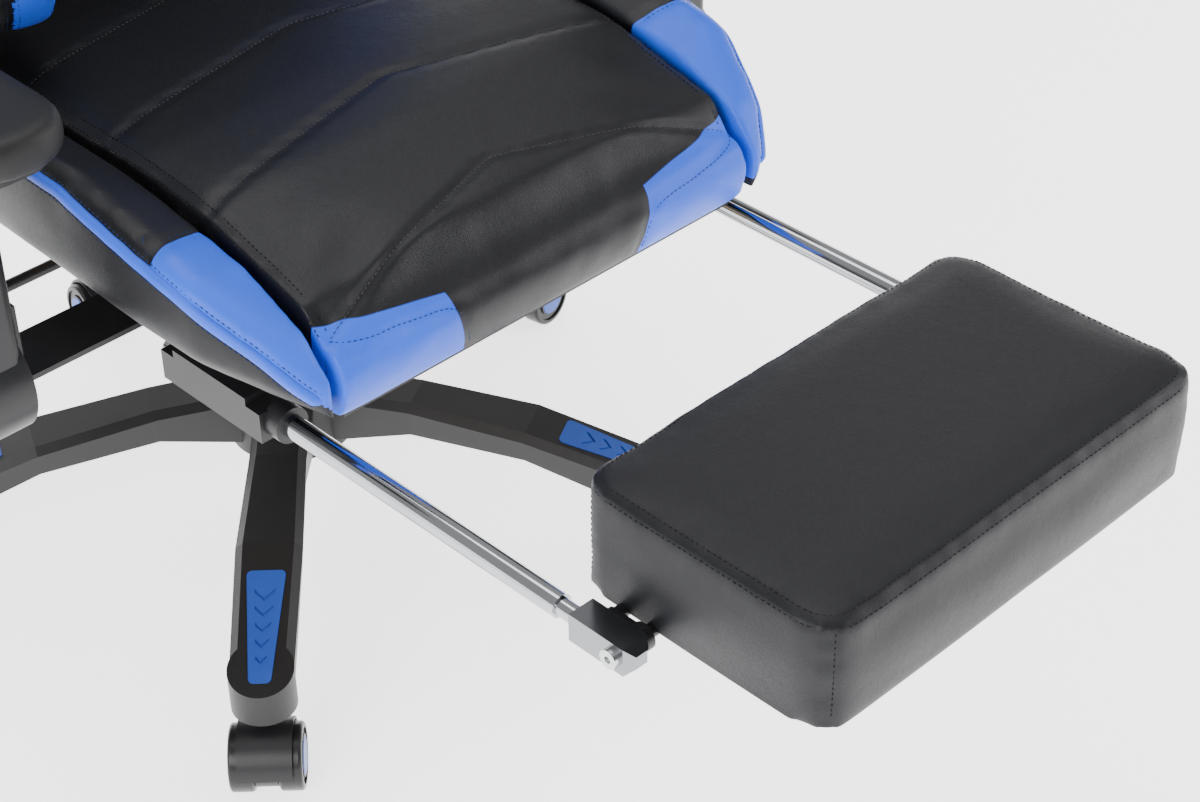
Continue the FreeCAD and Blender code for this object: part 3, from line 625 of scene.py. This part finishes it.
def piped(name, body, lines, radius, material, sink):
    """A round welt of covered cord sewn along an edge."""
    verts, faces = [], []
    for line in lines:
        first = len(verts)
        count = len(line)
        for n, (p, normal) in enumerate(line):
            way = (line[min(n + 1, count - 1)][0] - line[max(n - 1, 0)][0]).normalized()
            side = normal.cross(way).normalized()
            over = way.cross(side).normalized()
            end = min(1.0, 0.35 + min(n, count - 1 - n) * 0.3)
            for k in range(WELT_SIDES):
                a = k * math.tau / WELT_SIDES
                verts.append(p - normal * sink
                             + (side * math.cos(a) + over * math.sin(a)) * radius * end)
        for n in range(count - 1):
            ring_start = first + n * WELT_SIDES
            for k in range(WELT_SIDES):
                a, b = ring_start + k, ring_start + (k + 1) % WELT_SIDES
                faces.append((a, b, b + WELT_SIDES, a + WELT_SIDES))
        faces.append(tuple(first + k for k in reversed(range(WELT_SIDES))))
        faces.append(tuple(first + (count - 1) * WELT_SIDES + k for k in range(WELT_SIDES)))
    mesh = bpy.data.meshes.new(name)
    mesh.from_pydata([tuple(v) for v in verts], [], faces)
    return riding(name, mesh, body, material)


def finished(made, body, material, node):
    """Last steps for a soft piece: one subdivision, its leather, its body and its CAD solid."""
    made.modifiers.new("fine", "SUBSURF").levels = 1
    made.modifiers["fine"].render_levels = 1
    settled(made)
    for face in made.data.polygons:
        face.use_smooth = True
    made.data.materials.clear()
    made.data.materials.append(material)
    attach(made, body)
    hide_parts(node)
    return made


def thread(name, colour):
    """Bonded sewing thread, lighter and darker along its twist."""
    yarn = Finish(name, Specular_IOR_Level=0.2)
    twist = yarn.noise(2500.0, 2.0)
    return yarn.wear(Base_Color=yarn.mix(twist, colour, tuple(c * 0.7 for c in colour)),
                     Roughness=0.55 + twist * 0.2)


grey_thread = thread("thread_grey", (0.060, 0.060, 0.064))
navy_thread = thread("thread_navy", (0.012, 0.035, 0.14))
black_thread = thread("thread_black", (0.0045, 0.0045, 0.0055))


def corner_panels(skin):
    """The two blue panels at the ends of the seat's front lip."""
    x, y, z = skin.axes()
    x = abs(x)
    inner = skin.step(x - 0.079 - (z - 0.343) * 0.22, -0.0004, 0.0004)
    below = skin.step(0.397 + (x - 0.09) * 0.11 - z, -0.0004, 0.0004)
    front = skin.step(-0.292 - y, -0.0004, 0.0004)
    return inner * below * front


seat_hide = hide("leather_black", BLACK, corner_panels, BLUE)
seat = blank("seat_cover", "seat_cushion", 0.0055, 0.004)


def seat_held(p):
    """What the board, the backrest's foot or a bolster backs."""
    return p[2] < 0.36 or p[1] > 0.118 or (abs(p[0]) > 0.180 and p[2] < 0.425 and p[1] > -0.30)


plumped(seat, seat_held, 4.0, 0.009)
smoothed(seat, 3)
tree = surface(seat)
TRACE = 0.0016
WELT_TRACE = 0.003
DOWN = (0, 0, -1)
CHEVRON_HALF = 0.186
CHEVRONS = ((0.055, 0.018), (-0.045, -0.084), (-0.146, -0.190), (-0.255, -0.304))
rows = [traced(tree, [(-CHEVRON_HALF, side, 0.6), (0, apex, 0.6), (CHEVRON_HALF, side, 0.6)],
               TRACE, DOWN) for apex, side in CHEVRONS]
EDGE = ((0.12, 0.456), (-0.118, 0.456), (-0.192, 0.450), (-0.241, 0.438), (-0.289, 0.424),
        (-0.306, 0.404))
edges = [traced(tree, [(s * 0.184, y, z + 0.004) for y, z in EDGE], TRACE) for s in (-1, 1)]
LIP = ((0.186, -0.312, 0.4075), (0.150, -0.330, 0.4036), (0.091, -0.340, 0.397),
       (0.087, -0.345, 0.385), (0.083, -0.343, 0.365), (0.080, -0.335, 0.346))
lip = [traced(tree, [(s * x, y, z) for x, y, z in LIP], TRACE) for s in (-1, 1)]
sunk(seat, rows, 0.0024, 0.0032, 0.0003)
sunk(seat, edges + lip, 0.0016, 0.003, 0.0004)
finished(seat, "seat", seat_hide, "seat_cushion")
tree = surface(seat)
PITCH = 0.0042


def again(skin, lines, step=PITCH, shift=0.0):
    """Lays the same lines again on the finished skin, moved sideways if asked."""
    out = []
    for line in lines:
        spots = []
        for n, (p, normal) in enumerate(line):
            way = line[min(n + 1, len(line) - 1)][0] - line[max(n - 1, 0)][0]
            spots.append(p + normal.cross(way).normalized() * shift if way.length > 1e-7 else p)
        out.append(traced(skin, spots, step))
    return out


def beside(skin, lines, shift):
    """The same lines laid on both sides of themselves, for a double row of stitches."""
    return again(skin, lines, shift=shift) + again(skin, lines, shift=-shift)


strung("seat_chevron_thread", "seat", again(tree, rows), grey_thread)
strung("seat_edge_thread", "seat", beside(tree, edges, 0.004), black_thread)
strung("seat_panel_thread", "seat", again(tree, lip, shift=0.003), navy_thread)

# ---- Seat bolsters ----
# Raised foam side walls in their own covers, screwed to the seat ring. Outside is black; the
# inside face turns from black to blue halfway along, and a blue welt runs along the top edge.
WELT = ((0.100, 0.247, 0.468), (-0.020, 0.247, 0.467), (-0.118, 0.247, 0.459),
        (-0.241, 0.247, 0.431), (-0.298, 0.226, 0.398), (-0.324, 0.207, 0.368))


def front_half(skin):
    """The front half of each side wall, cut off at a slant."""
    x, y, z = skin.axes()
    return skin.step(-0.196 - y - (abs(x) - 0.19) * 0.25, -0.0004, 0.0004)


bolster_hide = hide("leather_bolster", BLACK, front_half, BLUE)
outer_hide = hide("leather_outer", BLACK)
blue_hide = hide("leather_blue", BLUE)
bolsters = blank("bolster_covers", "seat_bolsters", 0.0055, 0.003)


def bolster_held(p):
    """What the cushion, the backrest's foot or the seat ring backs."""
    return abs(p[0]) < 0.194 or p[1] > 0.094 or (p[2] < 0.39 and abs(p[0]) < 0.235)


plumped(bolsters, bolster_held, 4.0, 0.008)
smoothed(bolsters, 2)
tree = surface(bolsters)
welts = [traced(tree, [(s * (x + 0.002), y, z) for y, x, z in WELT], WELT_TRACE)
         for s in (-1, 1)]
BORDER = ((0.252, -0.211, 0.6), (0.235, -0.207, 0.6), (0.193, -0.197, 0.6))
borders = [traced(tree, [(s * x, y, z) for x, y, z in BORDER], TRACE, DOWN) for s in (-1, 1)]
sunk(bolsters, borders, 0.0018, 0.0035, 0.0004)
sunk(bolsters, welts, 0.0010, 0.005, 0.0003)
finished(bolsters, "seat", bolster_hide, "seat_bolsters")
bolsters.data.materials.append(outer_hide)
top_edge = marked(welts)
for face in bolsters.data.polygons:
    c = face.center
    q, _, _ = top_edge.find(c)
    if abs(c.x) - abs(q.x) > c.z - q.z:
        face.material_index = 1
tree = surface(bolsters)
welts = again(tree, welts, WELT_TRACE)
piped("bolster_welt", "seat", welts, 0.0044, blue_hide, 0.0006)
strung("bolster_welt_thread", "seat", beside(tree, welts, 0.0062), navy_thread)
strung("bolster_border_thread", "seat", again(tree, borders, shift=0.003), navy_thread)

# ---- Footrest ----
# Two chromed tubes slide in moulded holders under the seat. Forged clevises on their ends carry
# two black cross rods, and those carry a ply board under a foam pad sewn in black.
wearing(chrome, "footrest_rails")
cast = plated("clevis_chrome", (0.24, 0.245, 0.26), 0.13)
wearing(cast, "footrest_clevises")
wearing(hood_black, "rail_holders")
wearing(zinc, "clevis_screws")
wearing(powder, "footrest_crossbars")
pad = blank("footrest_cover", "footrest_cushion", 0.005, 0.003, closed=True)
low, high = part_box("footrest_cushion")


def rest_held(p):
    """What the board backs."""
    return p[2] < low.z + 0.012


plumped(pad, rest_held, 3.0, 0.005)
smoothed(pad, 2)


def round_loop(x0, x1, y0, y1, radius, z, bits=7):
    """A closed rounded rectangle at one height."""
    loop = []
    for cx, cy, first in ((x1 - radius, y1 - radius, 0), (x0 + radius, y1 - radius, 90),
                          (x0 + radius, y0 + radius, 180), (x1 - radius, y0 + radius, 270)):
        for n in range(bits):
            a = math.radians(first + 90 * n / (bits - 1))
            loop.append((cx + radius * math.cos(a), cy + radius * math.sin(a), z))
    return loop + loop[:1]


tree = surface(pad)
rim = [traced(tree, round_loop(low.x + 0.004, high.x - 0.004, low.y + 0.004, high.y - 0.004,
                               0.024, high.z - 0.002), TRACE)]
posts = [traced(tree, [(cx, cy, high.z - 0.010), (cx, cy, low.z + 0.010)], TRACE)
         for cx in (low.x + 0.008, high.x - 0.008) for cy in (low.y + 0.008, high.y - 0.008)]
sunk(pad, rim, 0.0022, 0.004, 0.0005)
sunk(pad, posts, 0.0016, 0.003, 0.0008)
pad_hide = hide("leather_pad", BLACK, rough=0.46)
finished(pad, "footrest", pad_hide, "footrest_cushion")
tree = surface(pad)
strung("footrest_rim_thread", "footrest", beside(tree, rim, 0.0050), black_thread)
strung("footrest_corner_thread", "footrest", again(tree, posts, shift=0.003), black_thread)

# ---- Backrest ----
# A welded square-tube frame between a thick foam face and a padded rear cover. The face is black
# with chevron seams, and the side wings are blue on the crest and the inside, black outside.
HINGE = Vector((0.0, 0.165, 0.400))
LEAN = math.radians(12)
lean = Matrix.Rotation(-LEAN, 3, "X")


def on_back(x, forward, high):
    """A point given across, forward of the hinge line and up along the leaning back."""
    return HINGE + lean @ Vector((x, -forward, high))


wearing(powder, "back_frame", "recline_brackets", "recline_arms")
wearing(hood_black, "strap_bezels", "recline_covers", "recline_lever")
forward = lean @ Vector((0.0, -1.0, 0.0))
upward = lean @ Vector((0.0, 0.0, 1.0))


def back_axes(skin):
    """Across, forward and up along the leaning back, as wires."""
    x, y, z = skin.axes()
    y, z = y - HINGE.y, z - HINGE.z
    return x, y * forward.y + z * forward.z, y * upward.y + z * upward.z


def shoulders(skin):
    """The blue yoke over each shoulder."""
    x, f, u = back_axes(skin)
    x = abs(x)
    yoke = (skin.step(u + x * 0.9 - 0.745, -0.0005, 0.0005)
            * skin.step(0.622 + x * 0.12 - u, -0.0005, 0.0005))
    return yoke * skin.step(x - 0.125, -0.0005, 0.0005)


back_hide = hide("leather_back", BLACK, shoulders, BLUE)
back = blank("back_cover_front", "back_cushion", 0.006, 0.004)


def back_local(p):
    """A point seen from the leaning back: across, rearward and up from the hinge."""
    return lean.inverted() @ (Vector(p) - HINGE)


def back_held(p):
    """What the frame, the strap slots or the seat backs."""
    q = back_local(p)
    slot_edge = abs(abs(q.x) - 0.082) < 0.046 and abs(q.z - 0.655) < 0.028
    return q.y > -0.004 or slot_edge or q.z < 0.012


plumped(back, back_held, 4.0, 0.012)
smoothed(back, 2)
tree = surface(back)
into = -forward
CHANNEL_HALF = 0.128
CHANNEL_DROP = 0.055
OFF_FACE = 0.2
COLUMN = ((CHANNEL_HALF, 0.02), (CHANNEL_HALF, 0.60), (0.040, 0.72), (0.036, 0.84))
back_rows = [traced(tree, [on_back(-CHANNEL_HALF, OFF_FACE, apex - CHANNEL_DROP),
                           on_back(0, OFF_FACE, apex),
                           on_back(CHANNEL_HALF, OFF_FACE, apex - CHANNEL_DROP)], TRACE, into)
             for apex in (0.10, 0.19, 0.28, 0.37, 0.46, 0.55)]
columns = [traced(tree, [on_back(s * x, OFF_FACE, u) for x, u in COLUMN], TRACE, into)
           for s in (-1, 1)]
sunk(back, back_rows, 0.0024, 0.004, 0.0006)
sunk(back, columns, 0.0030, 0.004, 0.0008)
finished(back, "back", back_hide, "back_cushion")
tree = surface(back)
strung("back_chevron_thread", "back", again(tree, back_rows), grey_thread)
strung("back_column_thread", "back", again(tree, columns, shift=0.004), grey_thread)

rear_form = bmesh.new()
rear_form.from_mesh(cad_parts["back_shell"].data)
bmesh.ops.remove_doubles(rear_form, verts=rear_form.verts, dist=1e-5)
rear_mesh = bpy.data.meshes.new("back_cover_rear")
rear_form.to_mesh(rear_mesh)
rear_form.free()
rear = put("back_cover_rear", rear_mesh)
turned_edge = rear.modifiers.new("turned_edge", "BEVEL")
turned_edge.width = 0.0012
turned_edge.segments = 2
turned_edge.limit_method = "ANGLE"
turned_edge.angle_limit = math.radians(40)
finished(rear, "back", outer_hide, "back_shell")
tree = surface(rear)
REAR_SEAM = ((0.128, 0.03), (0.120, 0.30), (0.142, 0.56))
rear_seams = [traced(tree, [on_back(s * x, -OFF_FACE, u) for x, u in REAR_SEAM], PITCH, forward)
              for s in (-1, 1)]
strung("rear_seam_thread", "back", rear_seams, grey_thread)

wings = blank("wing_covers", "back_wings", 0.0055, 0.003)


def wing_held(p):
    """What the frame and the face cushion back."""
    return back_local(p).y > -0.040


plumped(wings, wing_held, 4.0, 0.010)
smoothed(wings, 5)
CREST = ((0.058, 0.164, 0.167), (0.088, 0.170, 0.189), (0.160, 0.176, 0.181),
         (0.260, 0.182, 0.139), (0.380, 0.188, 0.101), (0.480, 0.210, 0.085),
         (0.545, 0.230, 0.077), (0.600, 0.210, 0.051))
tree = surface(wings)
crests = [traced(tree, [on_back(s * (x + 0.016), f - 0.004, u) for u, x, f in CREST], WELT_TRACE)
          for s in (-1, 1)]
inner_seams = [traced(tree, [on_back(s * (x - 0.024), f, u) for u, x, f in CREST], WELT_TRACE)
               for s in (-1, 1)]
sunk(wings, crests, 0.0016, 0.0035, 0.0010)
sunk(wings, inner_seams, 0.0016, 0.0035, 0.0010)
wing_hide = hide("leather_wing", BLUE)
finished(wings, "back", wing_hide, "back_wings")
wings.data.materials.append(outer_hide)
crest_edge = marked(crests)
for face in wings.data.polygons:
    c, q = back_local(face.center), back_local(crest_edge.find(face.center)[0])
    if abs(c.x) - abs(q.x) > q.y - c.y:
        face.material_index = 1
tree = surface(wings)
crests, inner_seams = again(tree, crests, WELT_TRACE), again(tree, inner_seams, WELT_TRACE)
strung("wing_crest_thread", "back", beside(tree, crests, 0.004), navy_thread)
strung("wing_inner_thread", "back", again(tree, inner_seams, shift=0.003), navy_thread)

# ---- Pillows and their straps ----
# Two loose fibre-filled pillows with welted edges: one behind the neck on an elastic band round
# the head of the chair, one at the waist that slides on two webbing straps.
web = Finish("webbing", Specular_IOR_Level=0.3, Sheen_Weight=0.3)
wx, wy, wz = web.axes()
WEAVE_PITCH = 4200.0
ribs = web.node("ShaderNodeMath", {"operation": "SINE"}, {0: (wz + wy * 0.3) * WEAVE_PITCH})
cross = web.node("ShaderNodeMath", {"operation": "SINE"}, {0: wx * WEAVE_PITCH})
weave = ribs * cross
web.wear(Base_Color=web.mix(weave * 0.5 + 0.5, (0.012, 0.012, 0.014), (0.030, 0.030, 0.033)),
         Roughness=0.75 + weave * 0.08, Normal=web.bumps(weave, 0.4, 0.0004))
wearing(web.material, "pillow_straps")


PILLOW_BACK = -0.0375
PILLOW_MIDDLE = -0.062


def pillow(name, node, body):
    """One pillow and the line of its welt, which runs round the middle of its thickness."""
    made = blank(name, node, 0.005, 0.004)

    def held(p):
        return back_local(p).y > PILLOW_BACK - 0.004

    plumped(made, held, 6.0, 0.022)
    smoothed(made, 2)
    corners = [back_local(p) for p in points_of(made)]
    x = max(q.x for q in corners) - 0.012
    z0, z1 = min(q.z for q in corners) + 0.012, max(q.z for q in corners) - 0.012
    skin_tree = surface(made)
    loop = [on_back(px, -PILLOW_MIDDLE, pz)
            for px, pz, _ in round_loop(-x, x, z0, z1, 0.030, 0.0)]
    rim = [traced(skin_tree, loop, WELT_TRACE)]
    sunk(made, rim, 0.002, 0.005, 0.0020)
    finished(made, body, pad_hide, node)
    return made, rim


for name, node, body in (("neck_pillow", "headrest_pillow", "back"),
                         ("waist_pillow", "lumbar_pillow", "lumbar")):
    made, rim = pillow(name, node, body)
    tree = surface(made)
    rim = again(tree, rim, WELT_TRACE)
    piped(name + "_welt", body, rim, 0.0026, blue_hide, 0.0004)
    strung(name + "_thread", body, again(tree, rim, shift=0.006), black_thread)

# ---- Armrests ----
# A bent steel strap under the seat carries a moulded column; a post slides in it on a sprung
# latch button, under a soft skinned polyurethane pad.
wearing(powder, "arm_brackets")
wearing(hood_black, "arm_columns", "arm_post_right", "arm_post_left",
        "arm_button_right", "arm_button_left")
soft_skin = moulded("pu_foam_black", (0.003, 0.003, 0.0035), (0.007, 0.007, 0.008),
                    0.55, 0.30, 700.0)
for side in ("right", "left"):
    rest = blank("arm_rest_" + side, "arm_pad_" + side, 0.004, 0.0)
    smoothed(rest, 8)
    finished(rest, "arm_" + side, soft_skin, "arm_pad_" + side)
